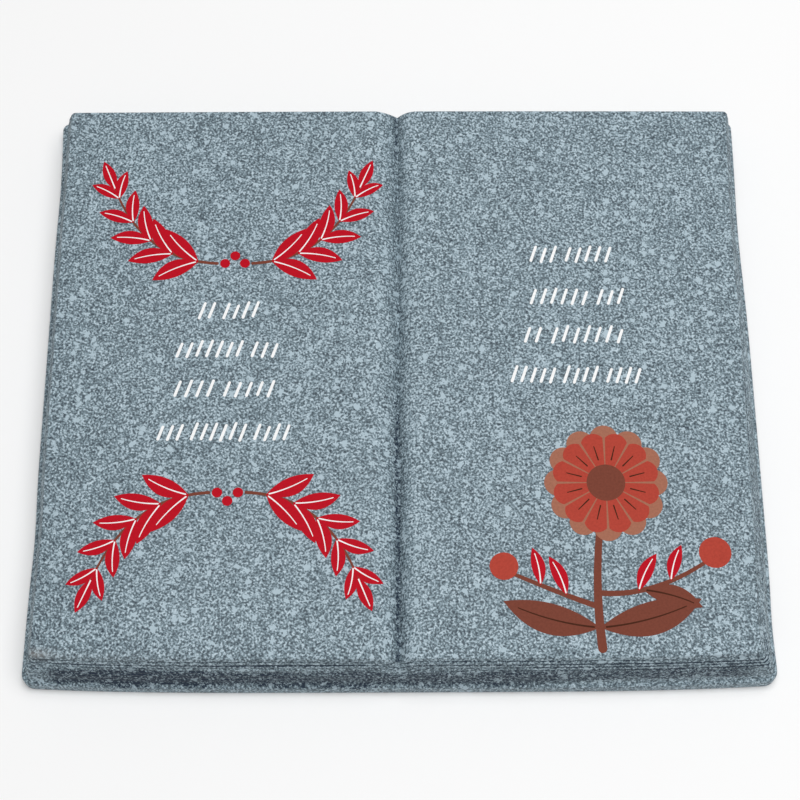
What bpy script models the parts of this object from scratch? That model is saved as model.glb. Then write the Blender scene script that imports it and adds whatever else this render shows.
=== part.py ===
"""Open-book memorial plaque, cast in one piece with a granite-like finish.

A cover board lies flat and carries an open block of leaves. The block fans out
towards the board on all four sides, fine grooves run round it between the
leaves, and its two pages roll down into a gutter along the middle.

Metres, +Z up. +X runs to the reader's right and -Y towards the reader. The
origin is on the underside, below the middle of the board.

The skin is a loft of level rings. Every ring has the same number of points,
so a ring of the board, which is flat, meets the rings of the leaves, which
follow the curved pages. Every size below can be set by itself.
"""
import math

import bmesh
import bpy

OBJECT_NAME = "open_book_plaque"
COLLECTION_NAME = "open_book_memorial_plaque"

# Cover board
BOARD_WIDTH = 0.2000
BOARD_DEPTH = 0.1732
BOARD_THICKNESS = 0.0050
BOARD_FRONT_RADIUS = 0.0032
BOARD_BACK_RADIUS = 0.0026
BOARD_UNDER_ROUND = 0.0007
BOARD_LIP_ROUND = 0.0013

# Flat ledge of the board between its rounded lip and the foot of the leaves
LEDGE_LEFT = 0.0003
LEDGE_RIGHT = 0.0001
LEDGE_FRONT = 0.0001
LEDGE_BACK = 0.0003

# Block of leaves, from the top of the board to the flat of the pages
LEAVES_HEIGHT = 0.0120
LEAVES_RADIUS = 0.0014
FAN_SIDE = 0.0026
FAN_FRONT = 0.0033
FAN_BACK = 0.0021
FAN_POWER = 1.8

# The right-hand edge of the page runs in by this much from back to front, while
# the foot of the leaves below it stays straight
RIGHT_EDGE_SLANT = 0.0024

# Grooves between the leaves
LEAF_PITCH = 0.0012
GROOVE_WIDTH = 0.0005
GROOVE_DEPTH = 0.0004

# Pages
PAGE_EDGE_ROUND = 0.0008
PAGE_CROWN = 0.0005
GUTTER_DEPTH = 0.0035
SHOULDER_WIDTH_LEFT = 0.0068
SHOULDER_WIDTH_RIGHT = 0.0062
SHOULDER_POWER_LEFT = 1.4
SHOULDER_POWER_RIGHT = 2.3

# The front edge bows forward by this much between its corners, and the power
# says how long it stays straight before it falls back
FRONT_BOW = 0.0015
FRONT_BOW_POWER = 4

# Fineness of the mesh
CORNER_STEPS = 5
ROUND_STEPS = 3
SHOULDER_STEPS = 6
PAGE_STEPS = 5

# Edges that turn by more than this are shaded crisp
SHARP_ANGLE = math.radians(25)

# Finish, as linear colour
STONE_COLOUR = (0.242, 0.309, 0.352, 1.0)
STONE_ROUGHNESS = 0.62


def clear_scene():
    """Remove the objects that the file opened with."""
    for old in list(bpy.data.objects):
        bpy.data.objects.remove(old, do_unlink=True)


def page_drop(x):
    """Depth of the page surface below its flat at the distance x from the gutter.

    The crown is a parabola that falls to the outer edges, and each shoulder is
    a power curve that falls to the gutter's full depth at x = 0.
    """
    crown = PAGE_CROWN * (x / (BOARD_WIDTH / 2)) ** 2
    width = SHOULDER_WIDTH_LEFT if x < 0 else SHOULDER_WIDTH_RIGHT
    power = SHOULDER_POWER_LEFT if x < 0 else SHOULDER_POWER_RIGHT
    closeness = max(0.0, 1 - abs(x) / width)
    return crown + GUTTER_DEPTH * closeness ** power


def page_height(x):
    """Height of the page surface above the underside."""
    return BOARD_THICKNESS + LEAVES_HEIGHT - page_drop(x)


class Outline:
    """A rounded rectangle in plan, whose right side may run in towards the front."""

    def __init__(self, left, right, front, back, front_radius, back_radius, slant=0.0):
        self.left = left
        self.right = right
        self.front = front
        self.back = back
        self.front_radius = front_radius
        self.back_radius = back_radius
        self.slant = slant

    def inset(self, distance):
        """The parallel outline that lies this far inside."""
        return Outline(self.left + distance, self.right - distance,
                       self.front + distance, self.back - distance,
                       self.front_radius - distance, self.back_radius - distance,
                       self.slant)

    def placed(self, x, y):
        """A plan point moved by the slant and by the bow of the front edge.

        Both act in full at the front and fade to nothing at the back. The bow
        grows with a power of the distance from the gutter.
        """
        frontness = (self.back - y) / (self.back - self.front)
        across = abs(x) / (BOARD_WIDTH / 2)
        run_in = self.slant * frontness * max(0.0, x) / self.right
        return x - run_in, y + FRONT_BOW * across ** FRONT_BOW_POWER * frontness


def board_outline():
    """The board's outline at its widest, with the origin in its middle."""
    return Outline(-BOARD_WIDTH / 2, BOARD_WIDTH / 2, -BOARD_DEPTH / 2, BOARD_DEPTH / 2,
                   BOARD_FRONT_RADIUS, BOARD_BACK_RADIUS)


def leaves_outline(share):
    """The outline of the leaves at a share of their height, from 0 to 1."""
    lean = share ** FAN_POWER
    ledge = board_outline().inset(BOARD_LIP_ROUND)
    return Outline(ledge.left + LEDGE_LEFT + FAN_SIDE * lean,
                   ledge.right - LEDGE_RIGHT - FAN_SIDE * lean,
                   ledge.front + LEDGE_FRONT + FAN_FRONT * lean,
                   ledge.back - LEDGE_BACK - FAN_BACK * lean,
                   LEAVES_RADIUS, LEAVES_RADIUS, RIGHT_EDGE_SLANT * lean)


def edge_stations(outline, radius):
    """The x places along a front or back edge, closest together at the gutter."""
    first = outline.left + radius
    last = outline.right - radius
    left_page = [first + (-SHOULDER_WIDTH_LEFT - first) * i / PAGE_STEPS
                 for i in range(1, PAGE_STEPS)]
    left_roll = [-SHOULDER_WIDTH_LEFT * (1 - i / SHOULDER_STEPS)
                 for i in range(SHOULDER_STEPS)]
    right_roll = [SHOULDER_WIDTH_RIGHT * i / SHOULDER_STEPS
                  for i in range(1, SHOULDER_STEPS + 1)]
    right_page = [SHOULDER_WIDTH_RIGHT + (last - SHOULDER_WIDTH_RIGHT) * i / PAGE_STEPS
                  for i in range(1, PAGE_STEPS)]
    return left_page + left_roll + [0.0] + right_roll + right_page


def chain(outline, sign):
    """Plan points from the left side to the right, along the front (sign -1) or back (+1)."""
    edge, radius = outline.front, outline.front_radius
    if sign > 0:
        edge, radius = outline.back, outline.back_radius
    quarter = [math.radians(90) * i / CORNER_STEPS for i in range(CORNER_STEPS + 1)]
    corner = [(radius * (1 - math.cos(a)), edge - sign * radius * (1 - math.sin(a)))
              for a in quarter]
    left = [(outline.left + x, y) for x, y in corner]
    straight = [(x, edge) for x in edge_stations(outline, radius)]
    right = [(outline.right - x, y) for x, y in reversed(corner)]
    return [outline.placed(x, y) for x, y in left + straight + right]


def add_ring(bm, outline, height):
    """One closed ring of vertices, front chain then back chain, at height(x)."""
    front = [bm.verts.new((x, y, height(x))) for x, y in chain(outline, -1)]
    back = [bm.verts.new((x, y, height(x))) for x, y in chain(outline, 1)]
    return front, back


def bridge(bm, lower, upper):
    """Join two rings with a band of four-sided faces that face outwards."""
    low = lower[0] + lower[1][::-1]
    high = upper[0] + upper[1][::-1]
    count = len(low)
    for i in range(count):
        j = (i + 1) % count
        bm.faces.new((low[i], low[j], high[j], high[i]))


def cap(bm, ring, upwards):
    """Close a ring: one face over each rounded end, strips from front to back between."""
    front, back = ring
    last = len(front) - 1
    ends = [(0, CORNER_STEPS), (last - CORNER_STEPS, last)]
    strips = [(i, i + 1) for i in range(CORNER_STEPS, last - CORNER_STEPS)]
    for start, stop in ends + strips:
        loop = front[start:stop + 1] + back[start:stop + 1][::-1]
        bm.faces.new(loop if upwards else loop[::-1])


def quarter_round(radius):
    """Inset from the side and fall from the top, for each ring of a rounded upper edge."""
    for i in range(ROUND_STEPS + 1):
        angle = math.radians(90) * i / ROUND_STEPS
        yield radius * (1 - math.cos(angle)), radius * (1 - math.sin(angle))


def board_levels():
    """Outline and height of each ring of the board, from the underside up.

    The lower round is the upper one upside down, so its rings come in reverse.
    """
    full = board_outline()
    under = [(full.inset(inset), fall)
             for inset, fall in reversed(list(quarter_round(BOARD_UNDER_ROUND)))]
    lip = [(full.inset(inset), BOARD_THICKNESS - fall)
           for inset, fall in quarter_round(BOARD_LIP_ROUND)]
    return under + lip


def leaf_levels():
    """Outline and share of the height of each ring of the leaves.

    The foot comes first. Each groove between two leaves is a V of three rings:
    its lower lip, its bottom and its upper lip. The round of the page edge ends
    the list.
    """
    edge_share = 1 - PAGE_EDGE_ROUND / LEAVES_HEIGHT
    leaf_count = max(2, round(LEAVES_HEIGHT / LEAF_PITCH))
    half_groove = GROOVE_WIDTH / 2 / LEAVES_HEIGHT
    levels = [(leaves_outline(0.0), 0.0)]
    for k in range(1, leaf_count):
        middle = edge_share * k / leaf_count
        for share, depth in ((middle - half_groove, 0.0),
                             (middle, GROOVE_DEPTH),
                             (middle + half_groove, 0.0)):
            levels.append((leaves_outline(share).inset(depth), share))
    page_edge = leaves_outline(edge_share)
    for inset, fall in quarter_round(PAGE_EDGE_ROUND):
        levels.append((page_edge.inset(inset), 1 - fall / LEAVES_HEIGHT))
    return levels


def leaf_height(share):
    """Height of a ring of the leaves as a function of x: this share of the way to the page."""
    return lambda x: BOARD_THICKNESS + share * (page_height(x) - BOARD_THICKNESS)


def build_mesh():
    """Loft the rings of the board and of the leaves into one closed skin."""
    bm = bmesh.new()
    rings = [add_ring(bm, outline, lambda x, z=z: z) for outline, z in board_levels()]
    rings += [add_ring(bm, outline, leaf_height(share)) for outline, share in leaf_levels()]
    for lower, upper in zip(rings, rings[1:]):
        bridge(bm, lower, upper)
    cap(bm, rings[0], upwards=False)
    cap(bm, rings[-1], upwards=True)
    bmesh.ops.recalc_face_normals(bm, faces=bm.faces)

    mesh = bpy.data.meshes.new(OBJECT_NAME)
    bm.to_mesh(mesh)
    bm.free()
    return mesh


def stone_material():
    """Blue-grey granite-like coating, matt."""
    material = bpy.data.materials.new("granite_coating")
    material.use_nodes = True
    shader = material.node_tree.nodes["Principled BSDF"]
    shader.inputs["Base Color"].default_value = STONE_COLOUR
    shader.inputs["Roughness"].default_value = STONE_ROUGHNESS
    shader.inputs["Metallic"].default_value = 0.0
    material.diffuse_color = STONE_COLOUR
    return material


def build_plaque():
    """The plaque as one named object in its own collection."""
    collection = bpy.data.collections.new(COLLECTION_NAME)
    bpy.context.scene.collection.children.link(collection)
    plaque = bpy.data.objects.new(OBJECT_NAME, build_mesh())
    collection.objects.link(plaque)
    plaque.data.materials.append(stone_material())
    plaque.data.shade_smooth()
    plaque.data.set_sharp_from_angle(angle=SHARP_ANGLE)
    return plaque


def main():
    clear_scene()
    build_plaque()


main()
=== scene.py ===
"""Open-book memorial plaque: its cast skin, granite coating and printed decoration.

The plaque is one casting in the form of an open book. This add-on builds its
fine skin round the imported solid, with broken grooves between the leaves, and
lays the ink of the two pages on it as thin films. Every length is in metres,
+X runs to the reader's right, -Y towards the reader and +Z up.
"""
import math

import bpy
import numpy as np
from bpy.props import FloatProperty, FloatVectorProperty, PointerProperty
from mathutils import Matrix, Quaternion, Vector


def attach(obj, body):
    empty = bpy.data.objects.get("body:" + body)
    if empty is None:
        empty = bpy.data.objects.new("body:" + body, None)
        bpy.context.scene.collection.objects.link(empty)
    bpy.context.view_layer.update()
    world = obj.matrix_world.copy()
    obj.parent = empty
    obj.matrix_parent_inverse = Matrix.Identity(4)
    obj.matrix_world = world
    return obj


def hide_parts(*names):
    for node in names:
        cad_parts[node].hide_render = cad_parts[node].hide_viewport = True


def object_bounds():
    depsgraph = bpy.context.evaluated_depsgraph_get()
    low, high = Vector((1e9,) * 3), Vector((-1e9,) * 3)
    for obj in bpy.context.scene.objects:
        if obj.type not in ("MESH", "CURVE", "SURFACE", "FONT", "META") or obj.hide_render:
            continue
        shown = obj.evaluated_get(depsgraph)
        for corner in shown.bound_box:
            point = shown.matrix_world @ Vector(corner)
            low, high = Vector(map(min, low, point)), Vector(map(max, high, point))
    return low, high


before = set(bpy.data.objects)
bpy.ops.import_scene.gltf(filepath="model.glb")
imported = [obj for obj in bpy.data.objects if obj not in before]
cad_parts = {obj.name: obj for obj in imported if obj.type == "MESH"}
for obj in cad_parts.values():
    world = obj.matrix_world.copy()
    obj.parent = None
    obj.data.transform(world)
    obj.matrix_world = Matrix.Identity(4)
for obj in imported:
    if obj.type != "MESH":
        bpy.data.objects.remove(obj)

bl_info = {
    "name": "Open-Book Memorial Plaque",
    "version": (1, 0, 0),
    "blender": (4, 5, 0),
    "location": "3D View > Sidebar > Plaque",
    "description": "Builds the skin, coating and print of an open-book plaque",
    "category": "Object",
}

NODE = "open_book_plaque"
BODY = "root"
CAD_LOW, CAD_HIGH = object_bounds()

# Fineness of the skin's grid
CORNER_STEPS = 6
PAGE_STEPS = 64
ROLL_STEPS = 20
SIDE_STEPS = 90
ROUND_STEPS = 5

# Grooves between the leaves: the share of the leaves' height at which each runs, and its
# strength at the corner, left, middle and right of the front
GROOVES = ((0.090, 0.10, 0.10, 0.10, 0.10), (0.180, 0.10, 0.10, 0.10, 0.10),
           (0.270, 0.15, 0.15, 0.15, 0.15), (0.370, 0.20, 0.20, 0.15, 0.20),
           (0.470, 0.25, 0.25, 0.20, 0.35), (0.575, 0.40, 0.40, 0.30, 1.10),
           (0.680, 0.45, 0.45, 0.40, 0.80), (0.775, 0.50, 1.45, 0.55, 1.05),
           (0.885, 1.20, 0.40, 0.60, 0.45))

# Places along the loop, from the front left corner, at which those strengths hold. The
# corner's one holds at the first two.
FRONT_PLACES = (0.0, 0.007, 0.012, 0.10, 0.20)

# Strength of a groove at the sides and the back, times its share of the height. It holds from
# this far along the loop to this far before the loop's end.
SIDE_STRENGTH = 0.60
SIDE_START = 0.215
SIDE_END = 0.015

# Noise that breaks the grooves: the pitch of the broad and of the fine one, the share of the
# fine one, and the mean, the swing and the limits of what they leave of a groove's strength
BREAK_PITCH = 0.030
FINE_BREAK_PITCH = 0.005
FINE_BREAK_SHARE = 0.55
BREAK_MEAN = 1.05
BREAK_SWING = 0.40
BREAK_LIMITS = (0.30, 1.25)

# Pitch of the noise that moves the grooves up and down, and the leaves in and out
WANDER_PITCH = 0.040
BULGE_PITCH = 0.022

# The seven rings of one leaf, from the groove below it to the groove above it: their depth
# and painted shade as shares of the full ones, and where the two on the leaf's own edge lie
RING_DEPTHS = (1.0, 0.62, 0.0, 0.0, 0.0, 0.0, 0.62)
RING_SHADES = (1.0, 1.0, 0.4, 0.0, 0.0, 0.4, 1.0)
RING_PLACES = (0.36, 0.64)

# No ring of a groove lies closer to the page's edge than this many half grooves
EDGE_CLEARANCE = 1.1

# Where the sides run in: the side (1 right, -1 left), the place along y, the half width and
# the depth of each dent. A negative depth stands out.
DENTS = ((1.0, 0.049, 0.021, 0.00060), (1.0, -0.071, 0.010, 0.00040),
         (-1.0, 0.063, 0.012, 0.00030), (-1.0, -0.046, 0.0125, 0.00045),
         (-1.0, 0.087, 0.008, -0.00030))

# Edges sharper than this stay crisp
SHARP_ANGLE = math.radians(40.0)

# Middle of the left page's decoration, and the petals in one ring of the flower
MIDDLE = -0.0460
PETALS = 12

# Painted shade of the grooves, the sides, the back, the board's upright rim and the underside, which
# darkens the coat where shade falls
LINE_PAINTED_SHADE = 1.5
SIDE_PAINTED_SHADE = 0.25
BACK_PAINTED_SHADE = 0.60
RIM_PAINTED_SHADE = 0.80
UNDER_PAINTED_SHADE = 0.35

# The band of painted shade on the front's lower leaves: its lower and upper edge, as shares of
# the leaves' height, and its strength. Each has its value in the middle and what the right and the
# left add to it.
BAND_LOW = (-0.04, 0.19, 0.02)
BAND_HIGH = (0.46, 0.02, 0.06)
BAND_STRENGTH = (0.88, -0.06, 0.12)

# Where on a page, as shares of its width, the right's and the left's additions come in
RIGHT_RANGE = (0.1, 0.7)
LEFT_RANGE = (0.2, 0.7)

# How far the shade band fades out below and above its edges, and how high the painted shade of the
# rim reaches
BAND_FADE_LOW = (-0.10, 0.06)
BAND_FADE_HIGH = 0.24
RIM_RANGE = (-0.12, -0.01)

# How far the band's edges wave, and the rate and start of each of the two waves
WAVE_DEPTH = 0.028
WAVES = ((130.0, 0.7), (310.0, 2.0))

# Where a wall takes painted shade: how squarely it faces its side, and how far from the board's
# ends it lies, at the front and at the back and sides
FACING = (0.80, 0.98)
FRONT_FADE = (0.003, 0.011)
END_FADE = (0.004, 0.016)

# Where on the way up the leaves the page's painted shading and the flare of its back right corner
# come in, and how squarely a wall faces the front where it has its soft fillet
PAGE_RANGE = (0.85, 1.0)
FLARE_RANGE = (0.3, 0.9)
COVE_FACING = (0.5, 1.0)

# Ramps from 0 to 1 over the pages: the factors of x and y, and where each starts and ends
PAGE_RAMPS = {"to_front": (0.0, -1.0, -0.020, 0.075), "near_half": (0.0, -1.0, -0.005, 0.020),
              "to_back": (0.0, 1.0, 0.030, 0.085), "far_end": (0.0, 1.0, 0.056, 0.074),
              "to_left": (-1.0, 0.0, 0.0, 0.060), "left_page": (-1.0, 0.0, 0.0, 0.020)}

# Bells of painted shading on the pages: the line that each follows, its offset from that line, its
# strength, its width and the ramp that it grows with. Along the gutter they are painted shade in its
# crease, and a negative one is a painted highlight on a shoulder beside it. Those along the outer
# edges darken the page there.
PAGE_BELLS = (("gutter", -0.0005, 0.43, 0.0015, "even"),
              ("gutter", -0.0005, 0.35, 0.0015, "near_half"),
              ("gutter", -0.0005, 0.28, 0.0015, "far_end"),
              ("gutter", -0.0005, 0.03, 0.0015, "wave"),
              ("gutter", 0.0, 0.12, 0.0028, "even"),
              ("gutter", -0.0042, -0.24, 0.0024, "even"),
              ("gutter", 0.0036, -0.44, 0.0021, "even"),
              ("left", 0.0, 0.29, 0.011, "even"),
              ("left", 0.0, 0.24, 0.022, "to_front"),
              ("right", 0.0, 0.06, 0.010, "even"),
              ("right", 0.0, 0.36, 0.010, "to_back"),
              ("right", 0.0, 0.15, 0.012, "to_front"),
              ("front", 0.0, 0.20, 0.0065, "to_left"),
              ("back", 0.0, 0.16, 0.012, "left_page"))

# Rate at which the painted shade in the gutter waves along it
GUTTER_WAVE = 260.0

# The rubbed edge at the front left: the reach of its bell in depth and in height, the reach
# of the front's bow there, and the strength, the place across and the width of its bells
RUB_DEPTH = 0.0013
RUB_HEIGHT = 0.0020
RUB_BOW = 0.02
RUB_BELLS = ((0.40, -0.0945, 0.0040), (0.08, -0.0800, 0.0200))

# Levels of the grain's noise at which the speckle's five tones lie, and the share of the
# drift in that noise
TONE_LEVELS = (0.26, 0.40, 0.53, 0.63, 0.74)
DRIFT_SHARE = 0.10

# Steepness of the outlines of patches and spots, and the level below which base coat shows
OUTLINE_STEEPNESS = 14.0
PATCH_LEVEL = 0.22

# Opacity of the small spots, and how much of all spots full painted shade takes away
SMALL_SPOT_OPACITY = 0.8
SPOT_LOSS = 0.45

# Shake of the spots' outlines, its rate and reach in ragged widths, and the random number
# above which a cell has a spot, with how fast its radius grows from there
SHAKE_RATE = 0.8
SHAKE_REACH = 3.4
SPOT_START = 0.32
SPOT_GROWTH = 0.69

# Turn of the coat's noises, so that no face of the plaque lies along their own grid
NOISE_TILT = (0.61, 0.47, 0.35)

# The coat's bump: its strength, and its reach in heights of relief. Then its roughness
# between the grains and on them, and its specular level.
COAT_BUMP = 0.30
COAT_BUMP_REACH = 4.0
COAT_ROUGHNESS = (0.72, 0.54)
COAT_SPECULAR = 0.25

# Mottle of the ink: its size, the levels of its noise between which the tone runs, and the
# factors of the tone there. Then the ink's bump, its reach and its specular level.
MOTTLE_SIZE = 0.0006
MOTTLE_LEVELS = (0.30, 0.70)
MOTTLE_TONES = (0.90, 1.08)
INK_BUMP = 0.15
INK_BUMP_REACH = 0.0001
INK_SPECULAR = 0.06

# Shares of the half width that a leaf and a brush stroke keep at their tips, and how far a
# petal's round end goes, so that no face collapses
LEAF_TIP = 0.012
BRUSH_TIP = 0.06
PETAL_END = 0.998

# Share of a brush stroke's length over which its heading is taken, to each side
HEADING_SHARE = 0.02

# Layer at which a film lies level with the inked page, and how many patches of one film take
# turns at the fine steps
LEVEL_LAYER = 2.5
FINE_TURNS = 6

# Layers of ink from the lowest up: stems and strokes, leaves, ribs and petals, drawn lines
# and the flower's heart
STEM_LAYER = 0
LEAF_LAYER = 1
RIB_LAYER = 2
LINE_LAYER = 2.6
HEART_LAYER = 3

# The printing inks, each named after its setting
INKS = ("red", "terracotta", "brown", "rim", "line", "white")

# A laurel spray: its stem's bend and tip, sideways and upwards, its pairs of leaves, the
# first pair's length and what each next pair loses, width by length, bow and lean of a leaf
SPRAY_BEND = (0.021, 0.001)
SPRAY_TIP = (0.030, 0.024)
SPRAY_PAIRS = 5
SPRAY_LEAF = 0.0140
SPRAY_LOSS = 0.0012
SPRAY_SLENDER = 0.37
SPRAY_BOW = 0.05
SPRAY_LEAN = math.radians(36.0)

# The point of the stem at which the first pair grows, and the points from pair to pair
FIRST_PAIR = 4
PAIR_STEPS = 6

# Length and width of the leaf at a spray's tip, and the stem's width at its root and tip
TIP_LEAF = (0.0100, 0.0036)
SPRAY_STEM = (0.0009, 0.0006)

# Where a midrib starts and ends on its leaf, and how much of its width is left there
RIB_RANGE = (0.06, 0.84)
RIB_TAPER = 0.6

# White strokes of the pages: the least and greatest height, how far a foot strays, lean as a
# share of the height to each side, width at foot and top, and the gap of groups in pitches
STROKE_HEIGHTS = (0.0036, 0.0046)
STROKE_STRAY = 0.0003
STROKE_LEAN = 0.17
STROKE_WIDTHS = (0.00082, 0.00076)
GROUP_GAP = 1.5


def length(name, description, default):
    """A property that holds a length in metres."""
    return FloatProperty(name=name, description=description, default=default,
                         subtype="DISTANCE", precision=5)


def ratio(name, description, default):
    """A property that holds a plain number."""
    return FloatProperty(name=name, description=description, default=default, precision=3)


def colour(name, description, default):
    """A property that holds a linear colour."""
    return FloatVectorProperty(name=name, description=description, default=default,
                               subtype="COLOR", size=3, min=0.0, max=1.0)


class PlaqueBookSettings(bpy.types.PropertyGroup):
    """Sizes of the casting: the cover board, the leaves and the pages."""

    board_width: length("Board width", "Cover board from left to right",
                        CAD_HIGH.x - CAD_LOW.x)
    board_depth: length("Board depth", "Cover board from front to back",
                        CAD_HIGH.y - CAD_LOW.y)
    board_thickness: length("Board thickness", "Height of the cover board", 0.0050)
    front_radius: length("Front corners", "Corner radius of the board at the front", 0.0032)
    back_radius: length("Back corners", "Corner radius of the board at the back", 0.0021)
    under_round: length("Lower edge round", "Rounding of the board's lower edge", 0.0007)
    lip_round: length("Lip round", "Rounding of the board's upper edge", 0.0013)
    ledge_left: length("Left ledge", "Board left bare at the left", 0.0003)
    ledge_right: length("Right ledge", "Board left bare at the right", 0.0001)
    ledge_front: length("Front ledge", "Board left bare at the front", 0.0001)
    ledge_back: length("Back ledge", "Board left bare at the back", 0.0003)
    leaves_height: length("Leaves height", "Block of leaves above the board", 0.0120)
    leaves_radius: length("Leaves corners", "Corner radius of the leaves in front", 0.0014)
    leaves_back_radius: length("Back leaves corners", "Corner radius at the back", 0.0011)
    left_nip: length("Left nip", "Run-in of the leaves at the back left corner", 0.0006)
    right_flare: length("Right flare", "Stand-out of the page's back right corner", 0.0005)
    nip_width: length("Nip width", "Reach of nip and flare along the sides", 0.0100)
    fan_side: length("Side fan", "How far the leaves fan out at the sides", 0.0026)
    fan_front: length("Front fan", "How far the leaves fan out at the front", 0.0033)
    fan_back: length("Back fan", "How far the leaves fan out at the back", 0.0021)
    fan_power: ratio("Fan curve", "Power of the curve that the fan follows", 1.8)
    right_slant: length("Right slant", "Run-in of the page's right edge to the front", 0.0024)
    groove_width: length("Groove width", "Height of one groove between leaves", 0.0005)
    groove_depth: length("Groove depth", "Depth of a groove where it is deepest", 0.0004)
    groove_wander: length("Groove wander", "How far a groove strays up and down", 0.00014)
    leaf_bulge: length("Leaf bulge", "How far single leaves stand out or in", 0.00014)
    page_round: length("Page edge round", "Rounding of the page's outer edge", 0.0004)
    page_crown: length("Page crown", "Fall of the page from gutter to outer edge", 0.0005)
    gutter_depth: length("Gutter depth", "Depth of the gutter below the page", 0.0035)
    shoulder_left: length("Left shoulder", "Width of the roll into the gutter, left", 0.0065)
    shoulder_right: length("Right shoulder", "Width of the roll into the gutter, right", 0.0062)
    roll_left: ratio("Left roll", "Power of the left roll's curve", 1.5)
    roll_right: ratio("Right roll", "Power of the right roll's curve", 2.3)
    front_bow: length("Front bow", "Forward bow of the front edge", 0.0015)
    bow_power: ratio("Bow curve", "Power of the curve that the bow follows", 4.0)
    left_waist: length("Left waist", "Run-in of the left side behind its front corner", 0.00045)
    waist_power: ratio("Waist curve", "Power of the curve that the waist follows", 8.0)
    crease_depth: length("Crease depth", "Depth of the crease along the gutter", 0.0002)
    crease_width: length("Crease width", "Half width of the crease along the gutter", 0.0012)
    cove_width: length("Cove width", "Spread of the soft fillet at the leaves' foot", 0.0005)
    cove_height: length("Cove height", "Height of the soft fillet at the leaves' foot", 0.0016)
    coat_sink: length("Coat sink", "Depth of the coated page below the inked one", 0.00005)


class PlaqueCoatSettings(bpy.types.PropertyGroup):
    """Colours and grain of the granite-effect coating."""

    base: colour("Base coat", "Dark coat under the speckle", (0.017, 0.031, 0.054))
    deep: colour("Deep speckle", "Darkest speckle of the pages", (0.078, 0.106, 0.126))
    ground: colour("Ground", "Middle tone of the speckle", (0.153, 0.210, 0.244))
    rubbed: colour("Rubbed coat", "Warm grey where an edge is rubbed", (0.270, 0.245, 0.225))
    light: colour("Light speckle", "Light speckle", (0.300, 0.392, 0.448))
    pale: colour("Pale speckle", "Palest fine speckle", (0.540, 0.655, 0.725))
    spot: colour("Spot", "Flat tone of the larger spatter spots", (0.425, 0.535, 0.600))
    grain_size: length("Grain size", "Width of one fine grain", 0.00057)
    patch_size: length("Patch size", "Width of one dark patch of base coat", 0.00075)
    spot_pitch: length("Spot pitch", "Distance between two large spatter spots", 0.0022)
    ragged: length("Ragged spots", "How far a spot's outline strays", 0.0007)
    drift_size: length("Drift size", "Width of a patch of lighter or darker grain", 0.0070)
    # How far the painted shading darkens the speckle, and how far it widens the dark patches
    bare: ratio("Shaded coat", "How much full bareness darkens the speckle", 0.07)
    patchiness: ratio("Shaded patches", "How much full bareness widens the dark patches", 0.36)
    relief: length("Grain relief", "Height of the grain's relief", 0.00005)


class PlaqueInkSettings(bpy.types.PropertyGroup):
    """Colours and thickness of the printed ink."""

    red: colour("Red ink", "Ink of the laurel leaves", (0.490, 0.004, 0.015))
    terracotta: colour("Terracotta ink", "Ink of the petals", (0.437, 0.057, 0.037))
    brown: colour("Brown ink", "Ink of the stems and brown leaves", (0.190, 0.053, 0.033))
    rim: colour("Pale brown ink", "Ink of the flower's rim", (0.368, 0.148, 0.094))
    line: colour("Dark brown ink", "Ink of the drawn lines", (0.062, 0.017, 0.007))
    white: colour("White ink", "Ink of the strokes and midribs", (0.94, 0.95, 0.95))
    film: length("Film step", "Height of one film of ink above the last", 0.000012)
    fine_step: length("Fine step", "Step between patches of one film", 0.000001)
    bed: length("Film bed", "Depth that a film reaches into the coating", 0.00008)
    roughness: ratio("Roughness", "Roughness of the ink", 0.58)


class PlaqueStageSettings(bpy.types.PropertyGroup):
    """Floor, lights and camera."""

    floor_size: length("Floor size", "Width of the floor", 6.0)
    floor_tone: ratio("Floor tone", "Lightness of the floor", 0.97)
    sky: ratio("Sky", "Strength of the even light from all round", 0.27)
    key: FloatProperty(name="Key light", description="Power of the light above",
                       default=15.2, unit="POWER")
    key_size: length("Key size", "Width of the light above", 1.2)
    key_height: length("Key height", "Height of the light above", 1.3)
    key_x: length("Key place", "Place of the light above, across the plaque", 0.20)
    camera_x: length("Camera x", "Place of the camera across the plaque", -0.00252)
    camera_y: length("Camera y", "Place of the camera in front of the plaque", -0.21707)
    camera_z: length("Camera z", "Height of the camera", 0.49596)
    aim_x: length("Aim x", "Point that the camera looks at, across", 0.00043)
    aim_y: length("Aim y", "Point that the camera looks at, in depth", -0.00185)
    roll: FloatProperty(name="Roll", description="Turn of the camera about its own view",
                        default=0.0096, subtype="ANGLE")
    lens: FloatProperty(name="Lens", description="Focal length in millimetres",
                        default=85.955, unit="CAMERA")


def smooth_noise(places, spacing, seed, rows, around):
    """Smooth random heights from -1 to 1 along a loop of the length `around`.

    Each row holds random heights about every `spacing`, and between two of them
    the height follows the smoothstep 3t^2 - 2t^3. The last height is the first.
    """
    knots = max(2, int(round(around / spacing)))
    heights = np.random.default_rng(seed).uniform(-1.0, 1.0, (rows, knots + 1))
    heights[:, -1] = heights[:, 0]
    at = np.clip(np.asarray(places) / around, 0.0, 1.0) * knots
    low = np.minimum(at.astype(int), knots - 1)
    t = at - low
    t = t * t * (3.0 - 2.0 * t)
    return heights[:, low] * (1.0 - t) + heights[:, low + 1] * t


def smoothstep(low, high, x):
    """0 below low, 1 above high and 3t^2 - 2t^3 between them."""
    t = np.clip((x - low) / (high - low), 0.0, 1.0)
    return t * t * (3.0 - 2.0 * t)


def bell(distance, width):
    """The bell curve exp(-(distance / width)^2)."""
    return np.exp(-(distance / width) ** 2)


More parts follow.
